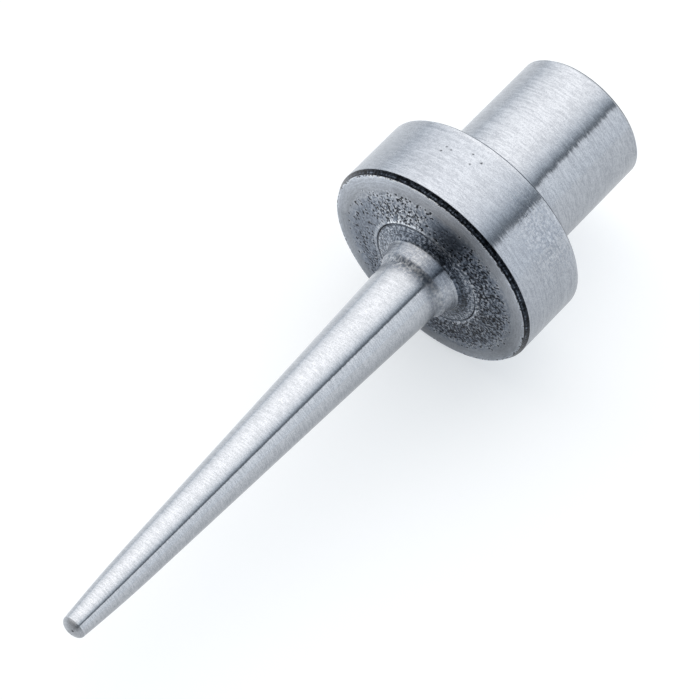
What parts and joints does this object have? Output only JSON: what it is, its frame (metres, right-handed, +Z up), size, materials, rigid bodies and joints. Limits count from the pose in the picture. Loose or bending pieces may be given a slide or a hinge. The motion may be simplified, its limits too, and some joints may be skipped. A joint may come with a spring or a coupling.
{
  "type": "live center",
  "caption": "Live center with a long slim point that spins in a round head on ball, thrust and needle bearings, with a plain straight shank behind a locating shoulder.",
  "frame": {"origin": "on the axis, in the plane of the shoulder where the head meets the shank", "axes": "+X along the axis from the head towards the end of the shank, so the point faces -X; +Z up"},
  "size_m": [0.0986, 0.031, 0.031],
  "materials": {
    "turned_steel": "satin",
    "point_steel": "satin",
    "bearing_steel": "gloss",
    "pressed_steel": "satin",
    "spring_steel": "satin",
    "cage_brass": "satin",
    "felt": "matte",
    "seal_rubber": "matte"
  },
  "bodies": {
    "body": {"housing": "turned_steel", "front_cover": "turned_steel", "felt_seal": "felt", "cover_o_ring": "seal_rubber", "wave_spring": "spring_steel", "front_bearing_outer_race": "bearing_steel", "front_bearing_front_shield": "pressed_steel", "front_bearing_rear_shield": "pressed_steel", "thrust_housing_washer": "bearing_steel", "needle_bearing_cup": "pressed_steel", "rear_plug": "turned_steel"},
    "spindle": {"point_spindle": "point_steel", "front_bearing_inner_race": "bearing_steel", "thrust_shaft_washer": "bearing_steel", "rear_washer": "pressed_steel", "retaining_ring": "spring_steel"},
    "front_rolling_set": {"front_bearing_balls": "bearing_steel", "front_bearing_cage_front": "pressed_steel", "front_bearing_cage_rear": "pressed_steel", "front_bearing_cage_rivets": "pressed_steel"},
    "thrust_rolling_set": {"thrust_bearing_balls": "bearing_steel", "thrust_bearing_cage": "cage_brass"},
    "needle_rolling_set": {"needle_rollers": "bearing_steel", "needle_cage": "pressed_steel"}
  },
  "joints": [
    {"name": "spindle_spin", "type": "hinge", "parent": "body", "child": "spindle", "pos_m": [0, 0, 0], "axis": [1, 0, 0], "continuous": true},
    {"name": "front_cage_spin", "type": "hinge", "parent": "body", "child": "front_rolling_set", "pos_m": [0, 0, 0], "axis": [1, 0, 0], "continuous": true},
    {"name": "thrust_cage_spin", "type": "hinge", "parent": "body", "child": "thrust_rolling_set", "pos_m": [0, 0, 0], "axis": [1, 0, 0], "continuous": true},
    {"name": "needle_cage_spin", "type": "hinge", "parent": "body", "child": "needle_rolling_set", "pos_m": [0, 0, 0], "axis": [1, 0, 0], "continuous": true}
  ],
  "couplings": [
    {"joint": "front_cage_spin", "follows": "spindle_spin", "ratio": 0.4008},
    {"joint": "thrust_cage_spin", "follows": "spindle_spin", "ratio": 0.5},
    {"joint": "needle_cage_spin", "follows": "spindle_spin", "ratio": 0.4013}
  ]
}
